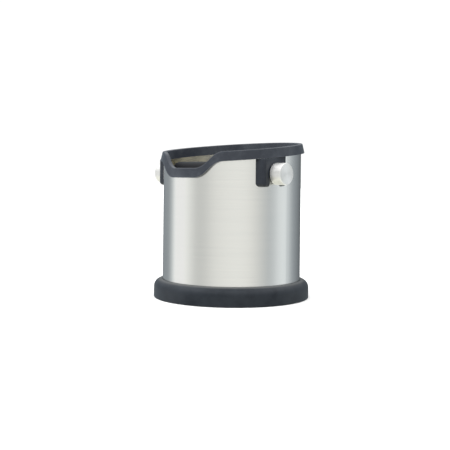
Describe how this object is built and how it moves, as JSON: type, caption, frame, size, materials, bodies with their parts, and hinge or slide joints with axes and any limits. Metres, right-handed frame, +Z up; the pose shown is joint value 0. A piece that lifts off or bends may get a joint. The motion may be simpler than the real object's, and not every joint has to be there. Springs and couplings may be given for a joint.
{
  "type": "coffee knock box",
  "caption": "Round steel bin with a rubber boot, a rubber-trimmed slanted rim with a front scoop, and a rubber-sleeved knock bar across the mouth.",
  "frame": {"origin": "middle of the flat underside of the boot", "axes": "+Z up, scoop faces -Y, knock bar parallel to X"},
  "size_m": [0.1752, 0.1642, 0.166],
  "materials": {
    "brushed_steel": "satin stainless steel, fine brushing round the tube",
    "satin_steel": "pressed satin stainless steel",
    "boot_rubber": "matt slate-black moulded rubber",
    "trim_rubber": "matt slate-black moulded rubber",
    "saddle_rubber": "matt slate-black moulded rubber",
    "nylon": "black nylon",
    "turned_steel": "turned stainless steel",
    "sleeve_rubber": "thick soft rubber sleeve",
    "washer_steel": "plain stainless washer",
    "knob_steel": "fine-turned satin stainless steel"
  },
  "bodies": {
    "bin": {"body_tube": "brushed_steel", "floor_pan": "satin_steel", "base_boot": "boot_rubber", "bush_right": "nylon", "bush_left": "nylon"},
    "trim": {"rim_trim": "trim_rubber", "saddle_right": "saddle_rubber", "saddle_left": "saddle_rubber"},
    "bar": {"bar_core": "turned_steel", "bar_sleeve": "sleeve_rubber", "thrust_washers": "nylon", "knob_washers": "washer_steel", "end_knob_right": "knob_steel", "end_knob_left": "knob_steel"}
  },
  "joints": [
    {"name": "trim_lift", "type": "slide", "parent": "bin", "child": "trim", "axis": [0, 0, 1], "range_m": [0, 0.07]},
    {"name": "bar_spin", "type": "hinge", "parent": "bin", "child": "bar", "pos_m": [0, -0.0194, 0.1304], "axis": [1, 0, 0], "continuous": true}
  ]
}
